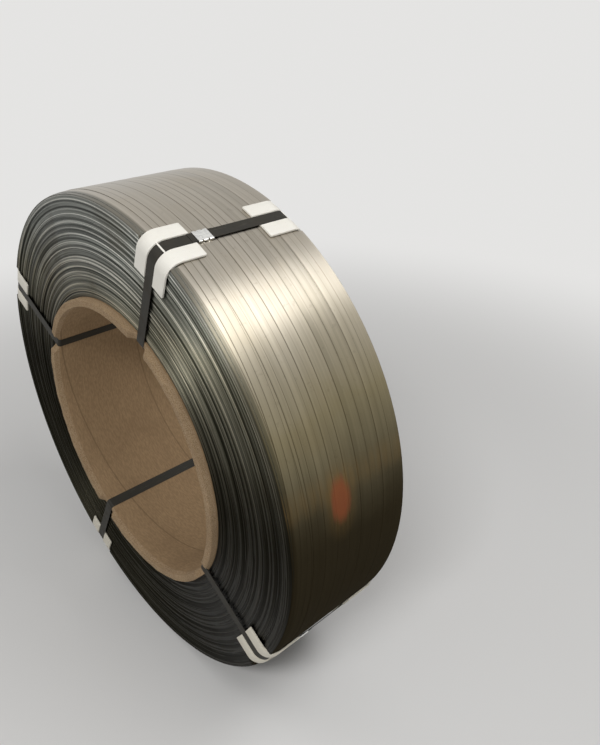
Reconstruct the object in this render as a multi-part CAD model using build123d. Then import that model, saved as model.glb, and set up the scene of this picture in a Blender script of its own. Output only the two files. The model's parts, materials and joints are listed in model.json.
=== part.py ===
from build123d import *
import os
from math import cos, radians

# Slit coil of narrow steel strip, wound to and fro across its width on a paperboard core
# and held by four steel straps through the bore, each over two plastic edge guards.
# X is the bore's axis, Z is up, and the coil stands on its round outside.
# The origin is at floor level, under the middle of the coil. Lengths are in millimetres.

bore_diameter = 508.0
core_wall = 14.0
core_overhang = 12.0
core_clearance = 0.3

winding_build = 171.7
coil_width = 235.0
rim_across = 5.0
rim_drop = 3.0

# Bands of turns on the end faces: each stands out to a crest nearer its outer side,
# and every second one a little less. The last rise leads to the flat under the rim.
band_width = 24.0
band_relief = 2.2
band_difference = 0.8
crest_share = 0.62
last_rise = 12.0
last_flat = 14.0

strap_angles = (112.8, 212.5, 299.3, 26.0)
strap_width = 19.0
strap_thickness = 0.6
strap_clearance = 0.3
bore_strap_clearance = 0.45

guard_width = 73.0
guard_outer_leg = 61.0
guard_face_leg = 56.0
guard_thickness = 3.0
guard_corner = 14.0
guard_clearance = 0.3
channel_width = 21.0
channel_floor = 1.0
bridge_angle = 62.0
bridge_width = 4.0
bridge_thickness = 0.7
bed_leg = 12.0
bed_margin = 2.0

seal_length = 25.0
seal_width = 22.5
seal_wall = 0.6
seal_clearance = 0.25
seal_from_guard = 4.0
lap_end = 9.0
notch_width = 4.0
notch_depth = 3.4
notch_spacing = 10.0

dent_width = 27.0
dent_flare = 9.0
core_edge_radius = 5.0

bore_radius = bore_diameter / 2
core_radius = bore_radius + core_wall
winding_bore = core_radius + core_clearance
coil_radius = winding_bore + winding_build
half_width = coil_width / 2
guard_seat = coil_radius + guard_clearance
guard_reach = half_width + guard_clearance
strap_seat = guard_seat + channel_floor + strap_clearance
strap_reach = guard_reach + channel_floor + strap_clearance
strap_corner = guard_corner + guard_clearance + channel_floor + strap_clearance
strap_bore_corner = core_edge_radius + strap_clearance
strap_bore_seat = bore_radius - bore_strap_clearance
dent_level = strap_reach - strap_clearance
seal_middle = -half_width + guard_outer_leg + seal_from_guard + seal_length / 2
axis_height = coil_radius


def winding_end():
    """Outline of the right end face, from the bore out over the rim."""
    outer = coil_radius - last_flat - last_rise
    count = round((outer - winding_bore) / band_width)
    step = (outer - winding_bore) / count
    valley = half_width - band_relief
    points = [(valley, winding_bore)]
    for band in range(count):
        start = winding_bore + band * step
        crest = half_width - band_difference * (band % 2)
        points += [(crest, start + crest_share * step), (valley, start + step)]
    points += [(half_width, coil_radius - last_flat), (half_width, coil_radius - rim_drop)]
    points.append((half_width - rim_across, coil_radius))
    return points


def guard_bed():
    """Corner of the winding that a guard has pressed in, at the top of the right end."""
    outside = 6
    outline = Polygon(
        (half_width - bed_leg - outside, coil_radius + outside),
        (half_width + outside, coil_radius - bed_leg - outside),
        (half_width + outside, coil_radius + outside), align=None,
    )
    return extrude(Plane.XZ * outline, guard_width / 2 + bed_margin, both=True)


def strip_winding():
    """Turned solid of all the turns, its rims pressed in under the guards."""
    right = winding_end()
    left = [(-across, out) for across, out in right]
    outline = Polygon(*left, *reversed(right), align=None)
    winding = revolve(Plane.XZ * outline, Axis.X)
    bed = guard_bed()
    for angle in strap_angles:
        winding -= Rot(angle - 90, 0, 0) * bed
        winding -= Rot(angle - 90, 0, 0) * mirror(bed, Plane.YZ)
    return winding


def core_dent():
    """Space that one strap crushes out of the core's rim, at the top of the right end."""
    far = half_width + core_overhang + 5
    top = core_radius + 5
    bottom = bore_radius - 5
    radius = core_edge_radius
    bend = radius * (1 - cos(radians(45)))
    sides = Polyline(
        (dent_level, bore_radius + radius), (dent_level, top), (far, top),
        (far, bottom), (dent_level - radius, bottom), (dent_level - radius, bore_radius),
    )
    edge = ThreePointArc(
        (dent_level - radius, bore_radius),
        (dent_level - bend, bore_radius + bend),
        (dent_level, bore_radius + radius),
    )
    dent = extrude(Plane.XZ * make_face(Curve() + [sides, edge]), dent_width / 2, both=True)
    flare = Polygon(
        (dent_level, -dent_width / 2), (dent_level, dent_width / 2),
        (far, dent_width / 2 + dent_flare), (far, -dent_width / 2 - dent_flare), align=None,
    )
    return dent + Pos(0, 0, bottom) * extrude(flare, top - bottom)


def core_sleeve():
    length = coil_width + 2 * core_overhang
    tube = Rot(0, 90, 0) * (Cylinder(core_radius, length) - Cylinder(bore_radius, length))
    dent = core_dent()
    for angle in strap_angles:
        tube -= Rot(angle - 90, 0, 0) * dent
        tube -= Rot(angle - 90, 0, 0) * mirror(dent, Plane.YZ)
    return tube


def loop_face(grow):
    """Rounded rectangle of the strap's loop, grown outward from its seat."""
    reach = strap_reach + grow
    outer = strap_seat + grow
    inner = strap_bore_seat - grow
    corner = strap_corner + grow
    inner_corner = strap_bore_corner + grow
    points = [(-reach, inner), (-reach, outer), (reach, outer), (reach, inner)]
    radii = [inner_corner, corner, corner, inner_corner]
    return make_face(FilletPolyline(*points, radius=radii, close=True))


def notches(extra=0.0):
    """Cuts of the crimping tool in both long edges of a seal."""
    cuts = Part()
    edge = seal_width / 2
    for place in (-notch_spacing / 2, notch_spacing / 2):
        for side in (-1, 1):
            points = [
                (seal_middle + place - notch_width / 2 - extra, side * (edge + 1)),
                (seal_middle + place + notch_width / 2 + extra, side * (edge + 1)),
                (seal_middle + place, side * (edge - notch_depth - extra)),
            ]
            cut = extrude(Polygon(*points, align=None), 10)
            cuts += Pos(0, 0, strap_seat - 5) * cut
    return cuts


def strap():
    """Steel band round the section of the coil, its lapped end crimped in the seal."""
    band = Plane.XZ * (loop_face(strap_thickness) - loop_face(0))
    band = extrude(band, strap_width / 2, both=True)
    lap_length = seal_length + 2 * lap_end
    lap = Box(lap_length, strap_width, strap_thickness, align=(Align.CENTER, Align.CENTER, Align.MIN))
    band += Pos(seal_middle, 0, strap_seat + strap_thickness) * lap
    return band - notches(extra=0.2)


def strap_seal():
    """Sheet sleeve round both layers of the strap, beside the left guard."""
    inside_width = strap_width + 2 * seal_clearance
    inside_height = 2 * strap_thickness + 2 * seal_clearance
    outer = Box(seal_length, seal_width, inside_height + 2 * seal_wall)
    outer = chamfer(outer.edges().filter_by(Axis.X), seal_wall / 2)
    sleeve = outer - Box(seal_length, inside_width, inside_height)
    return Pos(seal_middle, 0, strap_seat + strap_thickness) * sleeve - notches()


def guard_section(low, high, leg_out, leg_in):
    """L section at the right end, between two heights over the guard's own seat."""
    centre_x = half_width - guard_corner
    centre_r = coil_radius - guard_corner
    base = guard_corner + guard_clearance
    bend = cos(radians(45))
    inner = base + low
    outer = base + high
    start = half_width - leg_out
    end = coil_radius - leg_in
    lines = [
        Line((start, centre_r + inner), (centre_x, centre_r + inner)),
        ThreePointArc(
            (centre_x, centre_r + inner),
            (centre_x + inner * bend, centre_r + inner * bend),
            (centre_x + inner, centre_r),
        ),
        Line((centre_x + inner, centre_r), (centre_x + inner, end)),
        Line((centre_x + inner, end), (centre_x + outer, end)),
        Line((centre_x + outer, end), (centre_x + outer, centre_r)),
        ThreePointArc(
            (centre_x + outer, centre_r),
            (centre_x + outer * bend, centre_r + outer * bend),
            (centre_x, centre_r + outer),
        ),
        Line((centre_x, centre_r + outer), (start, centre_r + outer)),
        Line((start, centre_r + outer), (start, centre_r + inner)),
    ]
    return make_face(Curve() + lines)


def bridge():
    """Thin band of the guard that crosses over the strap at the corner."""
    centre_x = half_width - guard_corner
    centre_r = coil_radius - guard_corner
    outer = guard_corner + guard_clearance + guard_thickness
    inner = outer - bridge_thickness
    ring = Circle(outer + 2) - Circle(inner)
    wedge = Pos(outer / 2, 0) * Rectangle(outer + 10, bridge_width)
    face = Pos(centre_x, centre_r) * (ring & (Rot(0, 0, bridge_angle) * wedge))
    return extrude(Plane.XZ * face, channel_width / 2 + 1, both=True)


def edge_guard():
    """Plastic corner over the right rim, with a channel in which the strap lies."""
    section = Plane.XZ * guard_section(0, guard_thickness, guard_outer_leg, guard_face_leg)
    body = extrude(section, guard_width / 2, both=True)
    channel = guard_section(channel_floor, guard_thickness + 3, guard_outer_leg + 1, guard_face_leg + 1)
    channel = extrude(Plane.XZ * channel, channel_width / 2, both=True)
    return body - (channel - bridge())


def placed(shape, angle):
    """Turn a shape from the top of the coil to its strap's angle, and lift it to the floor."""
    return Pos(0, 0, axis_height) * Rot(angle - 90, 0, 0) * shape


def save(shape, name):
    export_step(shape, f"parts/{name}.step")


os.makedirs("parts", exist_ok=True)
save(placed(strip_winding(), 90), "strip_winding")
save(placed(core_sleeve(), 90), "core_sleeve")
right_guard = edge_guard()
left_guard = mirror(right_guard, Plane.YZ)
for number, angle in enumerate(strap_angles, start=1):
    save(placed(strap(), angle), f"strap_{number}")
    save(placed(strap_seal(), angle), f"strap_seal_{number}")
    save(placed(left_guard, angle), f"edge_guard_{number}_left")
    save(placed(right_guard, angle), f"edge_guard_{number}_right")
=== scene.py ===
import json
import math
import re

import bmesh
import bpy
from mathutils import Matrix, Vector, noise


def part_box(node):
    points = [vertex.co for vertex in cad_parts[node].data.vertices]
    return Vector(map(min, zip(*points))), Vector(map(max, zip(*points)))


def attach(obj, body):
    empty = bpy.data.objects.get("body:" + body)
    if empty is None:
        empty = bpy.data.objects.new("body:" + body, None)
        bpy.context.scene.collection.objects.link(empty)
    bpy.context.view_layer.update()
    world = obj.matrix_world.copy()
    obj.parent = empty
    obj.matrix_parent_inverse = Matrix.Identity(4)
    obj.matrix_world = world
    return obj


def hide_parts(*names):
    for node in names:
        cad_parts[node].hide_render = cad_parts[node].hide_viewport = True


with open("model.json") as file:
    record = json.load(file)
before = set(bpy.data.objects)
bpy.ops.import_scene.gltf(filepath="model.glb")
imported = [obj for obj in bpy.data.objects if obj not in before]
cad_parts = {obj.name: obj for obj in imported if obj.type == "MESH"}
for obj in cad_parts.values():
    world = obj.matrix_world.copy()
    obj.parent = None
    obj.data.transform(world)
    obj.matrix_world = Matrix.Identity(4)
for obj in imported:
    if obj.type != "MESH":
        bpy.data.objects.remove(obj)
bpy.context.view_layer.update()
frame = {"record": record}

# Lengths are in metres. X is the bore's axis, Z is up, and the viewer stands on the -X -Y side.
# An angle round the coil is counted in degrees from +Y: 90 is the top, and more turns to the viewer.

_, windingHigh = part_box("strip_winding")
coreLow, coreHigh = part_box("core_sleeve")
halfWidth = windingHigh.x
coilRadius = windingHigh.z / 2
axisZ = coilRadius
coreHalf = coreHigh.x
coreRadius = (coreHigh.z - coreLow.z) / 2
boreRadius = frame["record"]["mounts"][0]["dims"]["r_mm"] / 1000
fullTurn = 2 * math.pi
toDegrees = 180 / math.pi
toRadians = math.pi / 180

strapAngles = (112.8, 212.5, 299.3, 26.0)
guardCorner = {-1: 0.022, 1: 0.014}                       # by side: the left rim is worn rounder
rim = {
    "left": (0.0183, 0.0039), "right": (0.004, 0.003),    # how far it is drawn in, over what depth
    "under": 0.0016,                                      # how deep the guards' beds start
    "bedHalf": 4.95, "bedStep": 0.3,                      # half of a bed and its edge, in degrees
}


class Num:                                  # a number in a node tree, which takes + - * /
    def __init__(self, tree, socket):
        self.tree = tree
        self.socket = socket

    def math(self, operation, *others):
        node = self.tree.nodes.new("ShaderNodeMath")
        node.operation = operation
        for place, value in zip(node.inputs, (self,) + others):
            feed(self.tree, place, value)
        return Num(self.tree, node.outputs[0])

    def __add__(self, other):
        return self.math("ADD", other)

    __radd__ = __add__

    def __sub__(self, other):
        return self.math("SUBTRACT", other)

    def __rsub__(self, other):
        return (self * -1.0) + other

    def __mul__(self, other):
        return self.math("MULTIPLY", other)

    def __truediv__(self, other):
        return self.math("DIVIDE", other)

    def __rtruediv__(self, other):
        return self.math("POWER", -1.0) * other

    def clamp(self, low, high):
        return self.math("MAXIMUM", low).math("MINIMUM", high)


def feed(tree, place, value):
    if isinstance(value, Num):
        tree.links.new(value.socket, place)
    elif isinstance(value, bpy.types.NodeSocket):
        tree.links.new(value, place)
    else:
        place.default_value = value


def setInputs(tree, node, **inputs):
    for name, value in inputs.items():
        feed(tree, node.inputs[name.replace("_", " ")], value)


def addNode(tree, kind, settings=None, **inputs):
    node = tree.nodes.new(kind)
    for name, value in (settings or {}).items():
        setattr(node, name, value)
    setInputs(tree, node, **inputs)
    return node


socketTypes = {
    float: "NodeSocketFloat", int: "NodeSocketInt",
    bpy.types.Object: "NodeSocketObject", bpy.types.Material: "NodeSocketMaterial",
}


def newTree(name, kind, inputs, outputType, outputs):
    # Each input is named with its usual value, and a vector with None.
    tree = bpy.data.node_groups.new(name, kind)
    for label, value in inputs.items():
        socketType = socketTypes.get(type(value), "NodeSocketVector")
        socket = tree.interface.new_socket(label, in_out="INPUT", socket_type=socketType)
        if isinstance(value, (float, int)):
            socket.default_value = value
    for label in outputs:
        tree.interface.new_socket(label, in_out="OUTPUT", socket_type=outputType)
    start = tree.nodes.new("NodeGroupInput")
    given = {label: start.outputs[label] for label in inputs}
    for label, value in inputs.items():
        if isinstance(value, (float, int)):
            given[label] = Num(tree, given[label])
    return tree, given, tree.nodes.new("NodeGroupOutput")


def asLabels(values):
    # The inputs of a tree take their names from a dictionary: bandCount becomes Band Count.
    return {re.sub("([A-Z])", r" \1", name).title(): value for name, value in values.items()}


def splitVector(tree, vector):
    node = addNode(tree, "ShaderNodeSeparateXYZ", Vector=vector)
    return [Num(tree, socket) for socket in node.outputs]


def joinVector(tree, x, y, z):
    return addNode(tree, "ShaderNodeCombineXYZ", X=x, Y=y, Z=z).outputs[0]


def noiseAt(tree, vector, scale=1.0, detail=2.0, roughness=0.5):
    node = addNode(
        tree, "ShaderNodeTexNoise", {"noise_dimensions": "3D"}, Vector=vector, Scale=scale,
        Detail=detail, Roughness=roughness,
    )
    return Num(tree, node.outputs[0])


def noiseOf(tree, x, y, z, detail=1.0):
    return noiseAt(tree, joinVector(tree, x, y, z), detail=detail)


def whiteOf(tree, x, y, z):
    node = addNode(
        tree, "ShaderNodeTexWhiteNoise", {"noise_dimensions": "3D"}, Vector=joinVector(tree, x, y, z),
    )
    return Num(tree, node.outputs[0])


def remap(tree, value, fromLow, fromHigh, toLow=0.0, toHigh=1.0):
    node = addNode(tree, "ShaderNodeMapRange", {"interpolation_type": "SMOOTHSTEP"})
    for place, item in zip(node.inputs, (value, fromLow, fromHigh, toLow, toHigh)):
        feed(tree, place, item)
    return Num(tree, node.outputs[0])


def addObject(name, data):
    thing = bpy.data.objects.new(name, data)
    bpy.context.scene.collection.objects.link(thing)
    return thing


def aimedObject(name, data, place, direction):
    thing = addObject(name, data)
    thing.location = place
    thing.rotation_mode = "QUATERNION"
    thing.rotation_quaternion = direction.to_track_quat("-Z", "Y")
    return thing


def growPiece(name, makeTree, inputs):
    # Runs a node tree once and keeps its result as a plain mesh.
    tree = makeTree(inputs)
    piece = addObject(name, bpy.data.meshes.new(name))
    modifier = piece.modifiers.new("grow", "NODES")
    modifier.node_group = tree
    for item in tree.interface.items_tree:
        if item.item_type == "SOCKET" and item.in_out == "INPUT":
            modifier[item.identifier] = inputs[item.name]
    piece.update_tag()
    bpy.context.view_layer.update()
    graph = bpy.context.evaluated_depsgraph_get()
    mesh = bpy.data.meshes.new_from_object(piece.evaluated_get(graph))
    piece.modifiers.clear()
    piece.data = mesh
    mesh.name = name
    return piece


def newPiece(name, mesh, material):
    mesh.materials.append(material)
    return addObject(name, mesh)


def finishPiece(piece, sharpAngle, replaced):
    form = bmesh.new()
    form.from_mesh(piece.data)
    if form.calc_volume(signed=True) < 0:
        bmesh.ops.reverse_faces(form, faces=form.faces[:])
    form.to_mesh(piece.data)
    form.free()
    piece.data.shade_smooth()
    piece.data.set_sharp_from_angle(angle=math.radians(sharpAngle))
    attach(piece, "root")
    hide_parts(replaced)


def meshFromRings(name, rings, closeRows=False, cap=()):
    # Joins rings of points into a skin; a cap gives the quads that close the first and last ring.
    count, rows = len(rings[0]), len(rings)
    points = [point for ring in rings for point in ring]
    faces = []
    for row in range(rows if closeRows else rows - 1):
        start, after = row * count, (row + 1) % rows * count
        for column in range(count):
            beside = (column + 1) % count
            faces.append((start + column, start + beside, after + beside, after + column))
    faces += [tuple(quad) for quad in cap]
    faces += [tuple((rows - 1) * count + index for index in quad[::-1]) for quad in cap]
    mesh = bpy.data.meshes.new(name)
    mesh.from_pydata(points, [], faces)
    mesh.validate()
    return mesh


def joinMeshes(name, meshes):
    form = bmesh.new()
    for mesh in meshes:
        form.from_mesh(mesh)
    joined = bpy.data.meshes.new(name)
    bmesh.ops.recalc_face_normals(form, faces=form.faces[:])
    form.to_mesh(joined)
    form.free()
    return joined


def atAngle(angle, x, across, reach):
    # A point given by its place along the bore, across a strap, and its distance from the axis.
    turned = math.radians(angle)
    y = reach * math.cos(turned) - across * math.sin(turned)
    z = reach * math.sin(turned) + across * math.cos(turned)
    return (x, y, z + axisZ)


def roundOff(radius, fromEnd):
    # How far a rounded corner falls back at a distance from its end.
    if fromEnd >= radius:
        return 0.0
    return radius - math.sqrt(max(0.0, radius ** 2 - (radius - fromEnd) ** 2))


# Materials

def startMaterial(name):
    material = bpy.data.materials.new(name)
    material.use_nodes = True
    tree = material.node_tree
    point = addNode(tree, "ShaderNodeTexCoord").outputs["Object"]
    return material, tree, tree.nodes["Principled BSDF"], point


def layColors(tree, values, first, *layers):
    # Lays a dictionary's colours over each other; a layer is its share, its colour and maybe its blend.
    color = values[first]
    for share, paint, *blend in layers:
        settings = {"data_type": "RGBA", "blend_type": blend[0] if blend else "MIX"}
        node = addNode(tree, "ShaderNodeMix", settings)
        for place, value in zip((0, 6, 7), (share, color, values[paint])):
            feed(tree, node.inputs[place], (*value, 1) if isinstance(value, tuple) else value)
        color = node.outputs[2]
    return color


def addBump(tree, surface, strength, distance, height):
    bump = addNode(tree, "ShaderNodeBump", Strength=strength, Distance=distance, Height=height)
    setInputs(tree, surface, Normal=bump.outputs[0])


# Camera, floor and lamps

photoCamera = {
    "lens": 32.635, "sensor": 36.0, "azimuth": -42.284, "elevation": 30.031,
    "placeInRadii": (-0.9833, -2.1221, 1.6182),    # from the middle of the left end face
}


def addCamera(values):
    azimuth = math.radians(values["azimuth"])
    elevation = math.radians(values["elevation"])
    back = Vector((
        math.sin(azimuth) * math.cos(elevation),
        -math.cos(azimuth) * math.cos(elevation),
        math.sin(elevation),
    ))
    data = bpy.data.cameras.new("camera")
    data.lens = values["lens"]
    data.sensor_width = values["sensor"]
    data.clip_start = 0.05
    place = Vector(values["placeInRadii"]) * coilRadius + Vector((-halfWidth, 0, axisZ))
    camera = aimedObject("camera", data, place, -back)
    bpy.context.scene.camera = camera


studio = {
    "floorSize": 90.0, "paleColor": (0.78, 0.775, 0.765), "skyStrength": 0.36,
    "fadeFrom": 0.9, "fadeTo": 2.4,                # where the floor melts into the backdrop
    "lamps": (
        # name, place, aims at, length, breadth, watts
        ("overheadLamp", (0.55, -1.25, 2.70), (0.0, -0.1, 0.7), 2.0, 0.85, 24.3),
        ("rearLamp", (-1.3, 1.6, 2.8), (0.0, 0.1, 0.7), 1.6, 0.6, 8.0),
        ("frontLamp", (-1.9, -1.32, 2.93), (-0.1, -0.2, 0.6), 1.2, 0.5, 42.0),
    ),
}


def paleShare(tree):
    # 1 for the rays that look at the surroundings, 0 for the ones that light the object.
    rays = tree.nodes.new("ShaderNodeLightPath").outputs
    camera, glossy, through = [
        Num(tree, rays[f"Is {kind} Ray"]) for kind in ("Camera", "Glossy", "Transmission")
    ]
    return camera.math("MAXIMUM", glossy).math("MAXIMUM", through)


def addStudio(values):
    half = values["floorSize"] / 2
    pale = (*values["paleColor"], 1)
    mesh = bpy.data.meshes.new("floor")
    corners = [(-half, -half, 0), (half, -half, 0), (half, half, 0), (-half, half, 0)]
    mesh.from_pydata(corners, [], [(0, 1, 2, 3)])
    material, tree, surface, point = startMaterial("floorPaint")
    newPiece("floor", mesh, material)
    setInputs(tree, surface, Base_Color=pale, Roughness=0.9, Specular_IOR_Level=0.1)
    x, y, _ = splitVector(tree, point)
    far = remap(tree, (x * x + y * y).math("SQRT"), values["fadeFrom"], values["fadeTo"])
    glow = addNode(tree, "ShaderNodeEmission", Color=pale, Strength=1.0)
    blend = addNode(tree, "ShaderNodeMixShader")
    for place, value in zip(blend.inputs, (far * paleShare(tree), surface.outputs[0], glow.outputs[0])):
        feed(tree, place, value)
    setInputs(tree, tree.nodes["Material Output"], Surface=blend.outputs[0])

    world = bpy.data.worlds.new("studioWorld")
    world.use_nodes = True
    bpy.context.scene.world = world
    tree = world.node_tree
    strength = paleShare(tree) * (1 - values["skyStrength"]) + values["skyStrength"]
    setInputs(tree, tree.nodes["Background"], Color=pale, Strength=strength)

    for name, place, aim, length, breadth, watts in values["lamps"]:
        data = bpy.data.lights.new(name, "AREA")
        data.shape = "RECTANGLE"
        data.size = length
        data.size_y = breadth
        data.energy = watts
        aimedObject(name, data, place, Vector(aim) - Vector(place))
    bpy.context.scene.view_settings.view_transform = "Standard"


addCamera(photoCamera)
addStudio(studio)
print("camera, floor and lamps are up")


# Shared effects, one node group each

def newEffect(name, inputs, outputs):
    return newTree(name, "ShaderNodeTree", inputs, "NodeSocketFloat", outputs)


def makeStreaks():
    # Long soft streaks along a map's first axis, with fine grain lines across its second.
    tree, given, end = newEffect(
        "rolledStreaks", {"Map": None, "Along Scale": 3.0, "Across Scale": 400.0, "Seed": 0.0},
        ("Broad", "Fine"),
    )
    along, across, _ = splitVector(tree, given["Map"])
    along = along * given["Along Scale"]
    across = across * given["Across Scale"]
    broad = noiseOf(tree, along, across * 0.25, given["Seed"], detail=3.0)
    fine = noiseOf(tree, along * 2.0, across, given["Seed"] + 5.0, detail=2.0)
    setInputs(tree, end, Broad=broad, Fine=fine)
    return tree


def makeGrime():
    # Dirt in object space: a soft cloud and small specks.
    tree, given, end = newEffect(
        "shopGrime", {"Point": None, "Scale": 8.0, "Cover": 0.5}, ("Cloud", "Specks"),
    )
    cloud = noiseAt(tree, given["Point"], scale=given["Scale"], detail=6.0, roughness=0.6)
    speck = noiseAt(tree, given["Point"], scale=given["Scale"] * 22.0, detail=3.0)
    edge = 1.0 - given["Cover"]
    cloud = remap(tree, cloud, edge - 0.12, edge + 0.12)
    setInputs(tree, end, Cloud=cloud, Specks=remap(tree, speck, 0.64, 0.72))
    return tree


def makeScratches():
    # Fine lines along X, on the strapping parts.
    tree, given, end = newEffect(
        "fineScratches", {"Point": None, "Along Scale": 40.0, "Across Scale": 700.0, "Detail": 3.0},
        ("Scratch",),
    )
    scale = joinVector(tree, given["Along Scale"], given["Across Scale"], given["Across Scale"])
    stretched = addNode(tree, "ShaderNodeMapping", Vector=given["Point"], Scale=scale)
    setInputs(tree, end, Scratch=noiseAt(tree, stretched.outputs[0], detail=given["Detail"]))
    return tree


def makePaintedLowShade():
    # Painted shade that darkens the lower half, with a ragged edge.
    tree, given, end = newEffect("paintedLowShade", {"Point": None, "Top": 0.83, "Bottom": 0.45}, ("Share",))
    _, _, z = splitVector(tree, given["Point"])
    ragged = noiseAt(tree, given["Point"], scale=6.0, detail=4.0) - 0.5
    setInputs(tree, end, Share=remap(tree, z + ragged * 0.10, given["Top"], given["Bottom"]))
    return tree


streaksGroup = makeStreaks()
grimeGroup = makeGrime()
scratchGroup = makeScratches()
lowShadeGroup = makePaintedLowShade()


def useGroup(tree, group, **inputs):
    node = addNode(tree, "ShaderNodeGroup", {"node_tree": group}, **inputs)
    return [Num(tree, socket) for socket in node.outputs]


def coilPlace(tree, point):
    # Place along the bore, angle round it in degrees, and distance from its axis.
    x, y, z = splitVector(tree, point)
    up = z - axisZ
    angle = up.math("ARCTAN2", y) * toDegrees
    wrapped = angle + angle.math("LESS_THAN", 0.0) * 360.0
    reach = (y * y + up * up).math("SQRT")
    return x, wrapped, reach


def useStripMap(tree, surface, anisotropy):
    # The strip's own map, which also gives the brushing its direction.
    tangent = addNode(tree, "ShaderNodeTangent", {"direction_type": "UV_MAP", "uv_map": "stripMap"})
    setInputs(
        tree, surface, Anisotropic=anisotropy, Anisotropic_Rotation=0.25, Tangent=tangent.outputs[0],
    )
    return addNode(tree, "ShaderNodeUVMap", {"uv_map": "stripMap"}).outputs[0]


# The winding: turned ends, and the last passes of strip over them

lastPasses = {
    "stripWidth": 0.0241, "stripThickness": 0.0005, "lead": 0.0242, "crown": 0.00010,
    "turns": 24.0, "segments": 4800, "dwellTurns": 0.64, "endAngle": 396.0,
    "pullAngle": 215.0, "pull": 0.0152, "pullTurns": 0.30, "tilt": 0.00012,
    "leftMargin": 0.0005, "rightMargin": 0.0015, "edgeReach": 0.0150, "edgeSag": 0.0028,
}

turnedEnds = {
    "turns": 118, "around": 200, "flatDown": 0.014, "lastRise": 0.012,
    "bandCount": 6.0, "bandRelief": 0.0022, "bandDifference": 0.0008, "crestShare": 0.62,
    "ridgePitch": 0.0098, "ridgeRelief": 0.0009, "ridgeWander": 0.018,
    "groupWidth": 0.0034, "groupRelief": 0.0007, "scatter": 0.0003, "drift": 0.0004, "proud": 0.0006,
    "seed": 4.0,
}

stripCorner = 0.00010    # how far the strip's corners are eased
layersOver = 3.4         # layers of strip between the turned body and the outside
coreGap = 0.0003         # between the core and the winding

stripSteel = {
    "color": (0.500, 0.458, 0.392), "darkColor": (0.360, 0.330, 0.276), "tanColor": (0.400, 0.315, 0.195),
    "oilAndShadeColor": (0.085, 0.065, 0.042), "edgeShadeColor": (0.120, 0.115, 0.092), "speckColor": (0.07, 0.055, 0.04),
    "lowShadeColor": (0.0200, 0.0148, 0.0074), "lowShadeTint": (0.92, 0.865, 0.62),
    "redColor": (0.25, 0.072, 0.032), "redPlace": (-0.0165, 169.0), "redSize": (0.0215, 5.4),
    "ochreColor": (0.200, 0.120, 0.040), "ochreAngle": 165.5,
    "roughness": 0.34, "anisotropy": 0.70, "edgeWidth": 0.0014, "creaseWidth": 0.0010,
}


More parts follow.
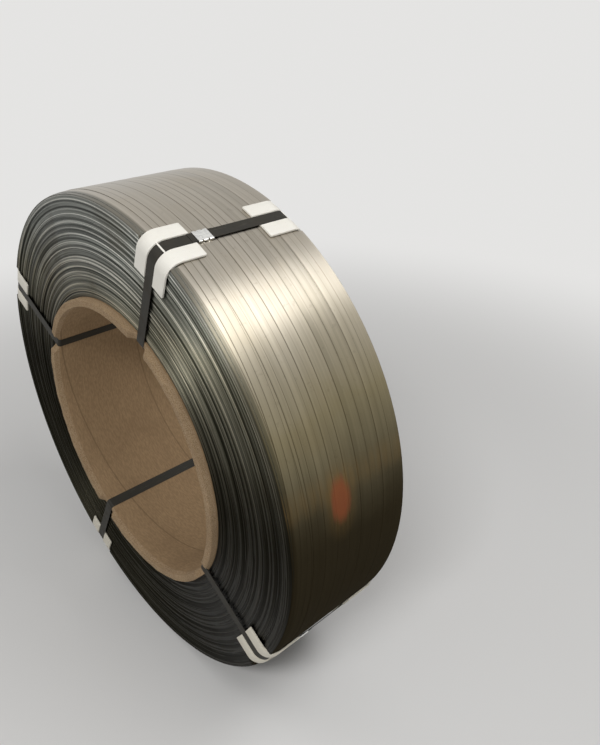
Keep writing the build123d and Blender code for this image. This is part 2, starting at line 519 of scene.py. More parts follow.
def makeStripSteel(values, stripWidth):
    material, tree, surface, point = startMaterial("rolledStripSteel")
    surfaceMap = useStripMap(tree, surface, values["anisotropy"])
    broad, fine = useGroup(
        tree, streaksGroup, Map=surfaceMap, Along_Scale=1.3, Across_Scale=620.0, Seed=1.0,
    )
    cloud, specks = useGroup(tree, grimeGroup, Point=point, Scale=5.0, Cover=0.42)
    [lowShade] = useGroup(tree, lowShadeGroup, Point=point)
    along, across, _ = splitVector(tree, surfaceMap)
    x, angle, _ = coilPlace(tree, point)
    turn = along / (fullTurn * coilRadius)
    tone = noiseOf(tree, turn * 1.7, 3.0, 0.0)
    shade = remap(tree, broad, 0.30, 0.72) * 0.6 + remap(tree, tone, 0.35, 0.65) * 0.4

    # dark line along the strip's edges, partly oil and partly painted shade of the step between turns, and a
    # line of painted shade down its middle where the turns underneath print through
    fromEdge = stripWidth / 2 - across.math("ABSOLUTE")
    edgeWander = noiseOf(tree, turn * 2.3, across.math("SIGN") * 4.0, 9.0, detail=2.0)
    edgeOilAndShade = remap(tree, fromEdge, values["edgeWidth"] * 0.25, values["edgeWidth"], 1.0, 0.0)
    edgeOilAndShade = edgeOilAndShade * remap(tree, edgeWander, 0.34, 0.62, 0.25, 0.95)
    swing = noiseOf(tree, turn * 1.4, 21.0, 0.0) - 0.5
    fromCrease = (across - swing * 0.015).math("ABSOLUTE")
    creaseFade = noiseOf(tree, turn * 1.9, 33.0, 2.0, detail=2.0)
    crease = remap(tree, fromCrease, values["creaseWidth"] * 0.2, values["creaseWidth"], 1.0, 0.0)
    crease = crease * remap(tree, creaseFade, 0.42, 0.60)

    # the left strip, where it is bent down, is painted darker: painted shade
    bandEdge = remap(tree, noiseOf(tree, turn * 2.0, 51.0, 0.0), 0.3, 0.7, 0.011, 0.0150)
    bentEdgeShade = remap(tree, x + halfWidth - bandEdge, -0.0016, 0.0016, 1.0, 0.0)

    # red-orange smear on the viewer's side, with ochre round it and a faint ochre band across the width
    spotX, spotAngle = values["redPlace"]
    sizeX, sizeAngle = values["redSize"]
    offX = (x - spotX) / sizeX
    offAngle = (angle - spotAngle) / sizeAngle
    ragged = noiseOf(tree, x * 130.0, angle * 0.12, 7.0, detail=3.0)
    distance = (offX * offX + offAngle * offAngle).math("SQRT") + (ragged - 0.5) * 0.5
    smear = remap(tree, distance, 0.50, 1.10, 1.0, 0.0)
    fromOchre = (angle - values["ochreAngle"]).math("ABSOLUTE")
    halo = remap(tree, distance, 0.6, 1.9, 1.0, 0.0) * 0.30 + remap(tree, fromOchre, 0.5, 4.5, 0.22, 0.0)

    color = layColors(
        tree, values, "darkColor",
        (shade, "color"),
        (cloud * 0.30, "tanColor"),
        # partly oil and partly painted shade along the edges, painted shade along the crease
        (edgeOilAndShade * 0.74, "oilAndShadeColor"),
        (crease * 0.56, "oilAndShadeColor"),
        # painted shade on the bent-down left edge
        (bentEdgeShade * 0.75, "edgeShadeColor"),
        (specks * 0.12, "speckColor"),
        # painted shade: darker and more olive towards the bottom
        ((lowShade * 2.2).clamp(0.0, 1.0), "lowShadeTint", "MULTIPLY"),
        (lowShade * 0.97, "lowShadeColor"),
        (halo * remap(tree, ragged, 0.35, 0.6, 0.4, 1.0), "ochreColor"),
        (smear * 0.74, "redColor"),
    )
    roughness = (broad - 0.5) * 0.16 + (fine - 0.5) * 0.16 + (tone - 0.5) * 0.2 + values["roughness"]
    roughness = roughness + cloud * 0.05 + smear * 0.2 + lowShade * 0.12
    # the painted shade also takes the metal's reflection away towards the bottom
    setInputs(
        tree, surface, Base_Color=color, Roughness=roughness.clamp(0.12, 0.9),
        Metallic=1.0 - (smear * 0.5 + lowShade).clamp(0.0, 0.96), Specular_IOR_Level=0.0,
    )
    addBump(tree, surface, 0.25, 0.0002, fine * 0.6 + broad * 0.8 - crease * 1.6)
    return material


endSteel = {
    "color": (0.365, 0.380, 0.347), "darkColor": (0.042, 0.046, 0.038), "glintColor": (0.88, 0.87, 0.81),
    "tanColor": (0.12, 0.095, 0.055), "edgeShadeColor": (0.150, 0.150, 0.132),
    "lowShadeTint": (1.0, 0.92, 0.76), "lowShadeColor": (0.0130, 0.0115, 0.0068),
    "roughness": 0.58, "anisotropy": 0.93, "edgeShadeFrom": 0.012, "edgeShadeTo": 0.004,
}


def makeEndSteel(values):
    material, tree, surface, point = startMaterial("slitEdgeSteel")
    surfaceMap = useStripMap(tree, surface, values["anisotropy"])
    broad, fine = useGroup(
        tree, streaksGroup, Map=surfaceMap, Along_Scale=1.0, Across_Scale=900.0, Seed=3.0,
    )
    _, edges = useGroup(
        tree, streaksGroup, Map=surfaceMap, Along_Scale=0.5, Across_Scale=400.0, Seed=11.0,
    )
    cloud, _ = useGroup(tree, grimeGroup, Point=point, Scale=7.0, Cover=0.40)
    [lowShade] = useGroup(tree, lowShadeGroup, Point=point)
    # painted shade: the hollows between the turns are darker
    hollow = Num(tree, addNode(tree, "ShaderNodeAttribute", {"attribute_name": "hollow"}).outputs["Fac"])
    shade = remap(tree, hollow + (0.5 - broad) * 0.5, 0.06, 0.80, 1.0, 0.0)
    glint = remap(tree, edges - hollow * 0.16, 0.50, 0.60)
    _, _, reach = coilPlace(tree, point)
    # painted shade: the band just inside the rim is darker, damping the lamps' reflection there
    roundedRim = remap(tree, reach, coilRadius - values["edgeShadeFrom"], coilRadius - values["edgeShadeTo"])
    color = layColors(
        tree, values, "darkColor",
        (shade, "color"),
        (remap(tree, edges, 0.46, 0.36) * 0.55, "darkColor"),
        (glint * 0.75, "glintColor"),
        (cloud * 0.25, "tanColor"),
        # painted shade near the rim
        (roundedRim * 0.55, "edgeShadeColor"),
        # painted shade: darker and more olive towards the bottom
        ((lowShade * 4.0).clamp(0.0, 1.0), "lowShadeTint", "MULTIPLY"),
        (lowShade * 0.955, "lowShadeColor"),
    )
    roughness = (fine - 0.5) * 0.2 + values["roughness"] + cloud * 0.08
    setInputs(tree, surface, Base_Color=color, Roughness=roughness.clamp(0.15, 0.95), Metallic=1.0)
    addBump(tree, surface, 0.55, 0.0005, fine + broad * 0.5)
    return material


def fitBeds(tree, turned, spacing):
    # Moves the vertices beside the guards' beds to the beds' edges; the second value is 1 within a bed.
    moved, pressed = turned, None
    for angle in strapAngles:
        off = (turned * toDegrees - angle + 32.5 * 360.0).math("MODULO", 360.0) - 180.0
        size = off.math("ABSOLUTE")
        inside = size.math("LESS_THAN", rim["bedHalf"])
        edge = rim["bedHalf"] + rim["bedStep"] / 2 - inside * rim["bedStep"]
        beside = (size - rim["bedHalf"]).math("ABSOLUTE").math("LESS_THAN", spacing)
        moved = moved + (edge - size) * off.math("SIGN") * beside * toRadians
        pressed = inside if pressed is None else pressed + inside
    return moved, pressed


def bedArc(depth, onLeft):
    # How far a guard's rounded bed draws one side of the rim in, at a depth below the other side.
    corner = onLeft * (guardCorner[-1] - guardCorner[1]) + guardCorner[1]
    left = (corner - depth).math("MAXIMUM", 0.0)
    return corner - (corner * corner - left * left).math("MAXIMUM", 0.0).math("SQRT")


def recedeOf(depth, pressed, onLeft):
    # How far the rim draws the end face in, at a depth below the outside.
    rightAcross, rightDrop = rim["right"]
    across = onLeft * (rim["left"][0] - rightAcross) + rightAcross
    drop = onLeft * (rim["left"][1] - rightDrop) + rightDrop
    roundedRim = (1.0 - depth / drop).clamp(0.0, 1.0) * across
    bed = bedArc((depth - rim["under"]).math("MAXIMUM", 0.0), onLeft) * pressed
    return roundedRim.math("MAXIMUM", bed)


def storeValue(tree, geometry, name, value, dataType, domain):
    return addNode(
        tree, "GeometryNodeStoreNamedAttribute", {"data_type": dataType, "domain": domain},
        Geometry=geometry, Name=name, Value=value,
    ).outputs[0]


def dressTree(tree, end, geometry, material):
    real = addNode(tree, "GeometryNodeRealizeInstances", Geometry=geometry)
    dressed = addNode(tree, "GeometryNodeSetMaterial", Geometry=real.outputs[0], Material=material)
    setInputs(tree, end, Geometry=dressed.outputs[0])


def makeEndsTree(inputs):
    # One closed turned body: the left end's turns, the outside, the right end's turns, the bore.
    tree, given, end = newTree(
        "turnedEnds", "GeometryNodeTree", inputs, "NodeSocketGeometry", ("Geometry",),
    )
    bore, full, seed = given["Bore Radius"], given["Full Radius"], given["Seed"]
    columns = given["Turns"] * 4.0
    grid = addNode(
        tree, "GeometryNodeMeshGrid", Size_X=1.0, Size_Y=1.0,
        Vertices_X=columns + 1.0, Vertices_Y=given["Around"] + 1.0,
    )
    place = tree.nodes.new("GeometryNodeInputPosition").outputs[0]
    gridX, gridY, _ = splitVector(tree, place)
    column = ((gridX + 0.5) * columns).math("ROUND").math("MODULO", columns)
    turned, pressed = fitBeds(tree, (gridY + 0.5) * fullTurn, 360.0 / given["Around"])
    cosine, sine = turned.math("COSINE"), turned.math("SINE")

    # each step of the outline runs along a turn's edge, or in or out to the next turn
    onLeft = column.math("LESS_THAN", columns / 2.0)
    side = 1.0 - onLeft * 2.0
    step = onLeft * column + (1.0 - onLeft) * (columns - 1.0 - column)
    turn = (step / 2.0).math("FLOOR")
    pitch = (given["Outer Radius"] - bore) / given["Turns"]
    radius = bore + pitch * ((step + 1.0) / 2.0).math("FLOOR")
    middle = bore + pitch * (turn + 0.5)

    # broad bands, each with a crest
    lastValley = full - given["Flat Down"] - given["Last Rise"]
    phase = (middle - bore) / (lastValley - bore) * given["Band Count"]
    share = phase.math("FRACT")
    rise = (share / given["Crest Share"]).math("MINIMUM", (1.0 - share) / (1.0 - given["Crest Share"]))
    odd = phase.math("FLOOR").math("MODULO", 2.0)
    bands = given["Band Relief"] - rise * (given["Band Relief"] - given["Band Difference"] * odd)
    beyond = ((middle - lastValley) / given["Last Rise"]).clamp(0.0, 1.0)
    isBeyond = beyond.math("GREATER_THAN", 0.0)
    bands = bands * (1.0 - isBeyond) + given["Band Relief"] * (1.0 - beyond) * isBeyond

    # ridges, groups of turns and single turns, which wander round the coil
    shift = side * 7.0 + seed
    wander = noiseOf(tree, middle * 14.0, cosine * 0.5 + shift, sine * 0.5) - 0.5
    ridges = (full - middle + wander * given["Ridge Wander"]) / given["Ridge Pitch"]
    height = noiseOf(tree, middle * 70.0, cosine * 0.6 + shift, sine * 0.6 + 3.0)
    height = remap(tree, height, 0.32, 0.66, 0.25, 1.0)
    ridges = (0.5 - (ridges * fullTurn).math("COSINE") * 0.5) * height
    groups = noiseOf(tree, middle / given["Group Width"], cosine * 0.8 + shift, sine * 0.8)
    loose = whiteOf(tree, turn, side, seed)
    start = noiseOf(tree, turn * 0.21, side * 3.0, seed) * 14.0
    drift = (1.0 - (turned + start).math("COSINE")) * 0.5
    depth = (
        bands + ridges * given["Ridge Relief"] + remap(tree, groups, 0.28, 0.72) * given["Group Relief"]
        + loose * given["Scatter"] + drift * given["Drift"]
    )
    inward = (depth - given["Proud"]).math("MAXIMUM", recedeOf(full - middle, pressed, onLeft))
    spot = joinVector(
        tree, side * (given["Half Width"] - inward), radius * cosine, radius * sine + given["Axis Height"],
    )

    # the material paints shade into the hollows of the face, less so on the left side's flat, with a random
    # tone for each turn
    ridged = remap(tree, full - middle, 0.004, 0.014, 0.25, 1.0).math("MAXIMUM", 1.0 - onLeft)
    hollow = ridges * ridged * 0.44 + remap(tree, groups, 0.3, 0.7) * ridged * 0.34 + loose * 0.22
    surfaceMap = joinVector(tree, (gridY + 0.5) * 2.2, side * (radius + 1.0), 0.0)
    mapped = storeValue(tree, grid.outputs["Mesh"], "stripMap", surfaceMap, "FLOAT2", "CORNER")
    shaded = storeValue(tree, mapped, "hollow", hollow, "FLOAT", "POINT")
    moved = addNode(tree, "GeometryNodeSetPosition", Geometry=shaded, Position=spot)
    closed = addNode(tree, "GeometryNodeMergeByDistance", Geometry=moved.outputs[0], Distance=0.000004)
    dressTree(tree, end, closed.outputs[0], given["Material"])
    return tree


def makePassTree(inputs):
    # The last passes, wound to and fro: a straight bar of the strip's section, bent into place.
    tree, given, end = newTree(
        "lastPasses", "GeometryNodeTree", inputs, "NodeSocketGeometry", ("Geometry",),
    )
    half, width, dwell = given["Half Width"], given["Strip Width"], given["Dwell Turns"]
    lineEnd = joinVector(tree, given["Turns"], 0.0, 0.0)
    line = addNode(tree, "GeometryNodeCurvePrimitiveLine", Start=(0, 0, 0), End=lineEnd)
    points = addNode(tree, "GeometryNodeResampleCurve", Curve=line.outputs[0], Count=given["Segments"])
    section = addNode(tree, "GeometryNodeObjectInfo", Object=given["Section"])
    bar = addNode(
        tree, "GeometryNodeCurveToMesh", Curve=points.outputs[0],
        Profile_Curve=section.outputs["Geometry"], Fill_Caps=True,
    )
    place = tree.nodes.new("GeometryNodeInputPosition").outputs[0]
    turns, across, height = splitVector(tree, place)
    rough = (given["End Angle"] - turns * 360.0) * toRadians
    turned, pressed = fitBeds(tree, rough, given["Turns"] * 360.0 / (given["Segments"] - 1.0))
    turns = turns - (turned - rough) / fullTurn

    # to and fro across the coil, with a stay at each side, and an offset where the strip was pulled
    widest = half * 2.0 - given["Left Margin"] - given["Right Margin"] - width
    travel = widest / given["Lead"] + dwell
    started = (given["End Angle"] - given["Pull Angle"]) / 360.0
    pulled = remap(tree, turns - started, 0.0, given["Pull Turns"]) * given["Pull"]
    passes = (turns - started + dwell / 2.0 + pulled / given["Lead"]) / travel
    wave = (passes + 2.0).math("PINGPONG", 1.0) * 2.0 - 1.0
    swing = (wave * travel / (travel - dwell)).clamp(-1.0, 1.0)
    x = swing * widest / 2.0 + (given["Left Margin"] - given["Right Margin"]) / 2.0 + across

    # each pass lies one layer deeper than the one after it
    soft = dwell / travel / 2.0
    ahead = passes + soft
    layer = ahead.math("FLOOR") + (ahead.math("FRACT") / (soft * 2.0)).clamp(0.0, 1.0) - 1.0
    depth = layer.math("MAXIMUM", 0.0) * given["Strip Thickness"]

    # the left edge and the guards' beds bend it down, and each pass leans on its neighbour
    fromRim = half - x.math("ABSOLUTE")
    curl = (1.0 - (x + half) / given["Edge Reach"]).clamp(0.0, 1.0)
    bed = bedArc(fromRim.math("MAXIMUM", 0.0), x.math("LESS_THAN", 0.0)) * pressed
    bent = (curl.math("POWER", 1.3) * given["Edge Sag"]).math("MAXIMUM", bed)
    share = across / (width / 2.0)
    lean = noiseOf(tree, turns * 1.3, 5.0, 0.0) - 0.5
    sag = given["Crown"] * share * share + given["Tilt"] * (1.0 + lean * share * 2.0)
    radius = given["Full Radius"] - depth - height - sag - bent
    spot = joinVector(
        tree, x, radius * turned.math("COSINE"), radius * turned.math("SINE") + given["Axis Height"],
    )
    surfaceMap = joinVector(tree, turns * given["Full Radius"] * fullTurn, across, 0.0)
    mapped = storeValue(tree, bar.outputs[0], "stripMap", surfaceMap, "FLOAT2", "CORNER")
    moved = addNode(tree, "GeometryNodeSetPosition", Geometry=mapped, Position=spot)
    dressTree(tree, end, moved.outputs[0], given["Material"])
    return tree


def stripSection(values):
    # Outline of the strip, as a curve to sweep along it. The sweep turns its height over.
    half = values["stripWidth"] / 2
    drop = stripCorner
    low = -values["stripThickness"] * 0.96
    steps = 6
    top = [(-half + drop + (half - drop) * 2 * step / steps, 0) for step in range(steps + 1)]
    outline = [(-half, low + drop), (-half, -drop)] + top + [(half, -drop), (half, low + drop), (0, low)]
    data = bpy.data.curves.new("stripSection", "CURVE")
    data.dimensions = "3D"
    spline = data.splines.new("POLY")
    spline.points.add(len(outline) - 1)
    for item, (across, height) in zip(spline.points, outline):
        item.co = (across, height, 0, 1)
    spline.use_cyclic_u = True
    return addObject("stripSection", data)


def buildWinding(ends, passes):
    coil = {"Full Radius": coilRadius, "Half Width": halfWidth, "Axis Height": axisZ}
    body = growPiece("wound_turns", makeEndsTree, {
        "Bore Radius": coreRadius + coreGap,
        "Outer Radius": coilRadius - layersOver * passes["stripThickness"] - passes["tilt"] * 2,
        **coil, **asLabels(ends), "Material": makeEndSteel(endSteel),
    })
    finishPiece(body, 180, "strip_winding")
    section = stripSection(passes)
    strip = growPiece("last_passes", makePassTree, {
        "Section": section, **coil, **asLabels(passes),
        "Material": makeStripSteel(stripSteel, passes["stripWidth"]),
    })
    finishPiece(strip, 12, "strip_winding")
    bpy.data.objects.remove(section)
    print("winding:", len(body.data.polygons), "and", len(strip.data.polygons), "faces")


buildWinding(turnedEnds, lastPasses)


# Core sleeve of wound paperboard, crushed where the straps turn into the bore

core = {
    "around": 720, "ragged": 0.0012, "rimRadius": 0.0016, "boreEdge": 0.005,
    "dentHalf": 0.0135, "dentFlare": 0.013, "dentSeat": 0.1188, "crushFrom": 0.002, "crushOver": 0.007,
    "color": (0.330, 0.222, 0.122), "lightColor": (0.50, 0.38, 0.25), "darkColor": (0.165, 0.105, 0.055),
    "plyPitch": 0.0016, "rimShadeFrom": 0.0135, "rimShadeTo": 0.0105,
}


def makeBoard(values):
    material, tree, surface, point = startMaterial("kraftBoard")
    cloud, _ = useGroup(tree, grimeGroup, Point=point, Scale=9.0, Cover=0.45)
    x, angle, reach = coilPlace(tree, point)
    fibre = noiseOf(tree, angle * 0.5, x * 420.0, reach * 420.0, detail=4.0)
    flecks = noiseOf(tree, angle * 3.0, x * 900.0, reach * 900.0, detail=2.0)
    shadeFrom, shadeTo = coreHalf - values["rimShadeFrom"], coreHalf - values["rimShadeTo"]
    onRim = remap(tree, x.math("ABSOLUTE"), shadeFrom, shadeTo)
    ply = ((reach / values["plyPitch"] + (fibre - 0.5) * 0.9) * math.pi).math("SINE").math("ABSOLUTE")
    plyLine = remap(tree, ply, 0.0, 0.35, 1.0, 0.0) * onRim
    # spiral seam of the innermost ply
    lap = (x * 6.2 + angle / 360.0 + 0.13).math("FRACT")
    seam = remap(tree, (lap - 0.5).math("ABSOLUTE"), 0.002, 0.012, 1.0, 0.0) * (1.0 - onRim)
    color = layColors(
        tree, values, "darkColor",
        (remap(tree, fibre, 0.3, 0.7), "color"),
        (0.55, "color"),
        (onRim * remap(tree, flecks, 0.42, 0.62) * 0.6, "lightColor"),
        (cloud * 0.30, "darkColor"),
        (plyLine * 0.5, "darkColor"),
        (seam * 0.65, "darkColor"),
    )
    roughness = (fibre - 0.5) * 0.15 + 0.85
    setInputs(tree, surface, Base_Color=color, Roughness=roughness, Specular_IOR_Level=0.25)
    addBump(tree, surface, 0.6, 0.0006, fibre * 0.5 + flecks * 0.5 - plyLine * 0.8 - seam)
    return material


def coreRimOf(values, angle, share, side):
    # How far the rim stands out at an angle; share runs from the bore (0) to the outside (1).
    cosine, sine = math.cos(angle), math.sin(angle)
    rough = noise.noise(Vector((cosine * 9, sine * 9, side * 5 + share * 2.5)))
    fray = noise.noise(Vector((cosine * 60, sine * 60, side * 3 + share * 6)))
    reach = coreHalf - values["ragged"] * max(0.05, 0.9 + rough * 0.9 + fray * 0.5)
    for strapAngle in strapAngles:
        off = (math.degrees(angle) - strapAngle + 180) % 360 - 180
        across = abs(math.radians(off)) * coreRadius
        if across < values["dentHalf"] + values["dentFlare"]:
            rise = max(0.0, across - values["dentHalf"]) / values["dentFlare"]
            bent = values["dentSeat"] + (reach - values["dentSeat"]) * rise * rise * (3 - 2 * rise)
            reach = min(reach, bent)
    return reach


def buildCore(values):
    wall = coreRadius - boreRadius
    shares = [0.0, 0.04, 0.12, 0.24, 0.36, 0.5, 0.64, 0.76, 0.88, 0.96, 1.0]
    eased = values["rimRadius"]
    rings = []
    for step in range(values["around"]):
        angle = fullTurn * step / values["around"]
        ring = []
        for side in (-1, 1):
            profile = []
            for share in shares:
                inset = share * wall
                reach = coreRimOf(values, angle, share, side)
                # the bore's edge is rounded where a strap bends over it, and only eased elsewhere
                pressed = (coreHalf - reach - values["crushFrom"]) / values["crushOver"]
                radius = eased + (values["boreEdge"] - eased) * min(1.0, max(0.0, pressed))
                reach -= roundOff(radius, inset) + roundOff(eased, wall - inset)
                profile.append((side * reach, boreRadius + inset))
            ring += profile if side < 0 else profile[::-1]
        inner = [(x, boreRadius) for x in (0.06, 0.0, -0.06)]
        outer = [(x, coreRadius) for x in (-0.06, 0.0, 0.06)]
        ring = ring[:len(shares)] + outer + ring[len(shares):] + inner
        rings.append([
            (x, reach * math.cos(angle), reach * math.sin(angle) + axisZ) for x, reach in ring
        ])
    mesh = meshFromRings("core_tube", rings, closeRows=True)
    finishPiece(newPiece("core_tube", mesh, makeBoard(values)), 50, "core_sleeve")
    print("core:", len(mesh.polygons), "faces")


buildCore(core)


# Edge guards of moulded plastic

guard = {
    "width": 0.073, "outerLeg": 0.061, "faceLeg": 0.056, "thickness": 0.0030, "clearance": 0.0003,
    "channel": 0.021, "floor": 0.0010, "cornerSteps": 12, "edge": 0.0009, "planCorner": 0.0022,
    "crown": 0.00015, "skirt": 0.0004, "hug": 0.7,
    "bridgeAngle": 62.0, "bridgeWidth": 0.0026, "bridgeThickness": 0.0007,
    "color": (0.83, 0.805, 0.735), "dirtColor": (0.50, 0.45, 0.37), "guardLowShadeColor": (0.52, 0.46, 0.33),
}


def makeGuardPlastic(values):
    material, tree, surface, point = startMaterial("guardPlastic")
    cloud, specks = useGroup(tree, grimeGroup, Point=point, Scale=26.0, Cover=0.36)
    [scuff] = useGroup(tree, scratchGroup, Point=point, Along_Scale=60.0, Across_Scale=420.0)
    [lowShade] = useGroup(tree, lowShadeGroup, Point=point)
    grain = noiseAt(tree, point, scale=900.0, detail=2.0)
    color = layColors(
        tree, values, "color",
        (cloud * 0.16, "dirtColor"),
        (specks * 0.22, "dirtColor"),
        (remap(tree, scuff, 0.62, 0.72) * 0.14, "dirtColor"),
        # painted shade: the guards are darker towards the bottom
        (lowShade * 0.5, "guardLowShadeColor"),
    )
    roughness = cloud * 0.12 + (grain - 0.5) * 0.1 + 0.48
    setInputs(tree, surface, Base_Color=color, Roughness=roughness, Specular_IOR_Level=0.4)
    addBump(tree, surface, 0.15, 0.0003, grain + scuff)
    return material


def guardPlace(values, side, angle, along, across, height):
    # A point over the guard's seat: along is measured from the corner's start, the outer leg negative.
    corner = guardCorner[side]
    bend = (corner + values["clearance"]) * math.pi / 2
    sag = values["hug"] * across ** 2 / (2 * coilRadius)
    reach = corner + values["clearance"] + height
    centreX, centreR = halfWidth - corner, coilRadius - corner
    if along < 0:
        x, r = centreX + along, centreR + reach
    elif along < bend:
        turned = along / bend * math.pi / 2
        x, r = centreX + reach * math.sin(turned), centreR + reach * math.cos(turned)
    else:
        x, r = centreX + reach, centreR - (along - bend)
    return atAngle(angle, side * x, across, r - sag)


def guardMesh(values, side, angle):
    half, channel = values["width"] / 2, values["channel"] / 2
    top, low, edge = values["thickness"], values["floor"], values["edge"]
    corner, planCorner, skirt = guardCorner[side], values["planCorner"], values["skirt"]
    bend = (corner + values["clearance"]) * math.pi / 2
    start = corner - values["outerLeg"]
    finish = bend + values["faceLeg"] - corner
    panel = [
        (channel, low), (channel, top - edge), (channel + edge * 0.3, top - edge * 0.3),
        (channel + edge, top), ((half + channel) / 2, top + values["crown"]), (half - edge, top),
        (half - edge * 0.3, top - edge * 0.3), (half, top - edge), (half, skirt),
    ]
    upper = [(-across, height) for across, height in panel[::-1]] + panel
    inward = [0.0, edge * 0.35, edge, planCorner * 0.45, planCorner]
    stations = [start + step for step in inward]
    stations += [start - start * share for share in (0.4, 0.7, 1.0)]
    stations += [bend * step / values["cornerSteps"] for step in range(1, values["cornerSteps"] + 1)]
    stations += [bend + (finish - bend) * share for share in (0.3, 0.6)]
    stations += [finish - step for step in inward[::-1]]
    rings = []
    for along in stations:
        fromEnd = min(along - start, finish - along)
        squeeze, drop = roundOff(planCorner, fromEnd), roundOff(edge, fromEnd)
        ring = []
        for across, height in upper:
            share = max(0.0, (abs(across) - channel) / (half - channel))
            moved = across - math.copysign(squeeze * share, across)
            ring.append((moved, max(skirt, min(height, top - drop)) if height > low else height))
        under = [(across, 0.0) for across, _ in ring[::-1]]
        rings.append([
            guardPlace(values, side, angle, along, across, height) for across, height in ring + under
        ])
    count = len(upper)
    last = 2 * count - 1
    cap = [(index, index + 1, last - index - 1, last - index) for index in range(count - 1)]
    shell = meshFromRings("guardShell", rings, cap=cap)

    # thin bridge over the strap
    middle = bend * (90 - values["bridgeAngle"]) / 90
    span = bend * values["bridgeWidth"] / (corner + values["thickness"]) / (math.pi / 2) / 2
    thin = values["bridgeThickness"]
    section = (
        (-1, 0.25), (-0.8, 0.9), (-0.3, 1.0), (0.3, 1.0), (0.8, 0.9), (1, 0.25), (0.8, 0), (-0.8, 0),
    )
    rings = [
        [
            guardPlace(values, side, angle, middle + share * span, across, top - thin + thin * height)
            for share, height in section
        ]
        for across in (-channel - 0.001, -channel * 0.5, 0.0, channel * 0.5, channel + 0.001)
    ]
    bridge = meshFromRings("guardBridge", rings, cap=[(0, 1, 6, 7), (1, 2, 5, 6), (2, 3, 4, 5)])
    return joinMeshes("guard", [shell, bridge])


def buildGuards(values):
    material = makeGuardPlastic(values)
    for number, angle in enumerate(strapAngles, start=1):
        for side, word in ((-1, "left"), (1, "right")):
            piece = newPiece(f"guard_{number}_{word}", guardMesh(values, side, angle), material)
            finishPiece(piece, 40, f"edge_guard_{number}_{word}")
    print("guards: 8 of", len(piece.data.polygons), "faces")


buildGuards(guard)


# Strap seals, crimped over both layers of strap

seal = {
    "middle": -0.040, "length": 0.025, "width": 0.0225, "seat": 0.0016, "strapThickness": 0.0006,
    "wall": 0.0006, "gap": 0.00025, "notchSpacing": 0.010, "notchWidth": 0.0042, "notchDepth": 0.0034,
    "farNotch": 0.4, "stiffHalf": 0.006, "edge": 0.0012, "ripple": 0.00022, "dip": 0.0003, "steps": 60,
    "color": (0.82, 0.82, 0.79), "dimColor": (0.50, 0.51, 0.52), "dirtColor": (0.34, 0.31, 0.27),
}


def makeSealSteel(values):
    material, tree, surface, point = startMaterial("crimpedSealSteel")
    cloud, _ = useGroup(tree, grimeGroup, Point=point, Scale=60.0, Cover=0.35)
    [scratch] = useGroup(
        tree, scratchGroup, Point=point, Along_Scale=150.0, Across_Scale=1500.0, Detail=2.0,
    )
    spangle = noiseAt(tree, point, scale=260.0, detail=1.0)
    color = layColors(
        tree, values, "color",
        (remap(tree, spangle, 0.35, 0.65) * 0.35, "dimColor"),
        (cloud * 0.25, "dirtColor"),
    )
    roughness = (scratch - 0.5) * 0.3 + cloud * 0.15 + 0.32
    setInputs(tree, surface, Base_Color=color, Roughness=roughness, Metallic=1.0)
    addBump(tree, surface, 0.3, 0.0003, scratch + spangle * 0.4)
    return material


def notchPlaces(values):
    return (-values["notchSpacing"] / 2, values["notchSpacing"] / 2)


def sealMesh(values, angle):
    half, edge, wall, stiff = values["width"] / 2, values["edge"], values["wall"], values["stiffHalf"]
    deep = values["strapThickness"] + values["gap"] + wall
    middleR = coilRadius + values["seat"] + values["strapThickness"]
    corner = [(half - edge, deep), (half - edge / 4, deep * 0.75), (half, deep * 0.25)]
    right = [(across, -height) for across, height in corner] + corner[::-1]
    left = [(-across, height) for across, height in right[::-1]]
    top = [(across, deep) for across in (half - edge * 3, half * 0.3, -half * 0.3, edge * 3 - half)]
    outline = left[-1:] + [(0.0, -deep)] + right + top + left[:-1]
    rings = []
    for layer, steps in ((0.0, range(values["steps"] + 1)), (1.0, range(values["steps"], -1, -1))):
        for step in steps:
            along = (step / values["steps"] - 0.5) * values["length"]
            near = min(abs(along - place) for place in notchPlaces(values))
            pinch = max(0.0, 1 - near / (values["notchWidth"] / 2))
            ring = []
            for across, height in outline:
                outer = max(0.0, (abs(across) - stiff) / (half - stiff))
                depth = values["notchDepth"] * (values["farNotch"] if across < 0 else 1.0)
                moved = across - math.copysign(depth * pinch * outer ** 2, across)
                lifted = height * (1 - 0.25 * pinch * outer) - values["dip"] * pinch * outer
                if height > 0:
                    lifted -= values["ripple"] * max(0.0, 1 - abs(pinch - 0.45) * 3.0) * (1 - outer)
                moved -= math.copysign(wall * layer, across) if abs(across) > 0.001 else 0.0
                lifted -= math.copysign(wall * 0.9 * layer, height)
                ring.append(atAngle(angle, values["middle"] + along, moved, middleR + lifted))
            rings.append(ring)
    return meshFromRings("seal", rings, closeRows=True)


def buildAtStraps(word, material, makeMesh, values, node):
    for number, angle in enumerate(strapAngles, start=1):
        piece = newPiece(f"{word}_{number}", makeMesh(values, angle), material)
        finishPiece(piece, 30, f"{node}_{number}")
    print(f"{word}: 4 of", len(piece.data.polygons), "faces")


buildAtStraps("seal", makeSealSteel(seal), sealMesh, seal, "strap_seal")


# Straps of waxed steel, bent over the guards, lapped in the seals and turned into the bore

strap = {
    "width": 0.019, "thickness": 0.0006, "seat": 0.0016, "boreSeat": 0.00045, "boreCorner": 0.0053,
    "ease": 0.00012, "lapEnd": 0.009, "cornerSteps": 12, "notchSteps": 60, "notchExtra": 0.0002,
    "color": (0.021, 0.019, 0.014), "wornColor": (0.085, 0.076, 0.060), "dirtColor": (0.045, 0.036, 0.026),
    "roughness": 0.54,
}


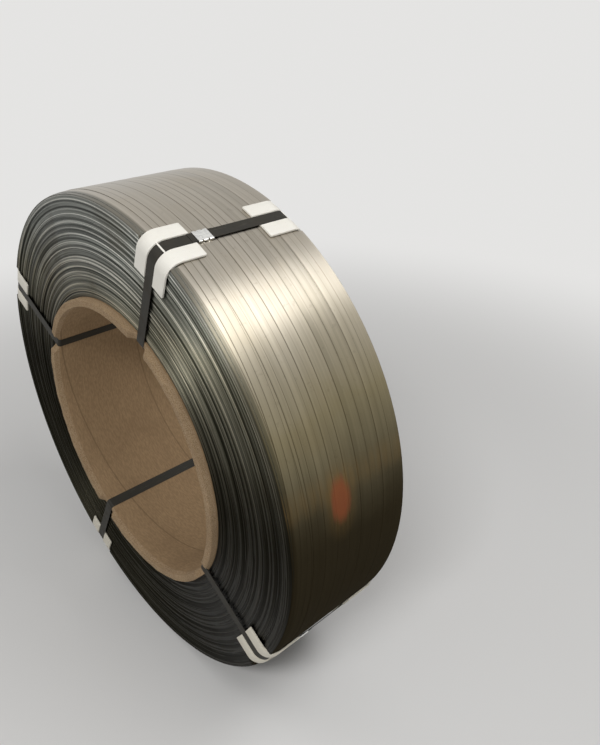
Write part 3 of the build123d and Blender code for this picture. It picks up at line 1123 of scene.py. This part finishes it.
def makeStrapWax(values):
    material, tree, surface, point = startMaterial("waxedStrapSteel")
    cloud, _ = useGroup(tree, grimeGroup, Point=point, Scale=30.0, Cover=0.45)
    [scratch] = useGroup(tree, scratchGroup, Point=point, Along_Scale=40.0, Across_Scale=700.0)
    color = layColors(
        tree, values, "color",
        (remap(tree, scratch, 0.60, 0.74) * 0.5, "wornColor"),
        (cloud * 0.35, "dirtColor"),
    )
    roughness = cloud * 0.14 + (scratch - 0.5) * 0.2 + values["roughness"]
    setInputs(tree, surface, Base_Color=color, Roughness=roughness, Specular_IOR_Level=0.25)
    addBump(tree, surface, 0.2, 0.0003, scratch)
    return material


def strapHalf(values, x):
    # Half of the strap's width, less the notches that the crimping tool cuts under the seal.
    near = min(abs(x - seal["middle"] - place) for place in notchPlaces(seal))
    share = max(0.0, 1 - near / (seal["notchWidth"] / 2 + values["notchExtra"]))
    deep = seal["notchDepth"] + values["notchExtra"] - (seal["width"] - values["width"]) / 2
    return values["width"] / 2 - share * deep


def strapRing(values, angle, station, low):
    # One section of the strap; a station is x, distance from the axis, and the outward direction.
    x, reach, outX, outR = station
    half = strapHalf(values, x) if outR > 0.999 else values["width"] / 2
    ease, high = values["ease"], low + values["thickness"]
    section = [
        (-half, low + ease), (ease - half, low), (half - ease, low), (half, low + ease),
        (half, high - ease), (half - ease, high), (ease - half, high), (-half, high - ease),
    ]
    return [atAngle(angle, x + outX * height, across, reach + outR * height) for across, height in section]


def strapMesh(values, angle):
    corner, outer = values["boreCorner"], coilRadius + values["seat"]
    boreX, boreR = halfWidth + values["seat"] - corner, boreRadius - values["boreSeat"] + corner
    right, left = guardCorner[1], guardCorner[-1]
    stations = []
    for x, reach, radius, start in (
        (halfWidth - right, coilRadius - right, right + values["seat"], 90),
        (boreX, boreR, corner, 0),
        (-boreX, boreR, corner, -90),
        (left - halfWidth, coilRadius - left, left + values["seat"], -180),
    ):
        for step in range(values["cornerSteps"] + 1):
            turned = math.radians(start - 90 * step / values["cornerSteps"])
            outX, outR = math.cos(turned), math.sin(turned)
            stations.append((x + radius * outX, reach + radius * outR, outX, outR))
    crimped = [
        (seal["middle"] + (step / values["notchSteps"] - 0.5) * seal["length"], outer, 0.0, 1.0)
        for step in range(values["notchSteps"] + 1)
    ]
    lapHalf = seal["length"] / 2 + values["lapEnd"]
    lapStart, lapFinish = [(seal["middle"] + side * lapHalf, outer, 0.0, 1.0) for side in (-1, 1)]
    loopRings = [strapRing(values, angle, item, 0.0) for item in stations + crimped]
    lapRings = [
        strapRing(values, angle, item, values["thickness"]) for item in [lapStart, *crimped, lapFinish]
    ]
    loop = meshFromRings("loop", loopRings, closeRows=True)
    lap = meshFromRings("lap", lapRings, cap=[(0, 1, 2, 3), (0, 3, 4, 7), (7, 4, 5, 6)])
    return joinMeshes("strap", [loop, lap])


buildAtStraps("waxed_strap", makeStrapWax(strap), strapMesh, strap, "strap")
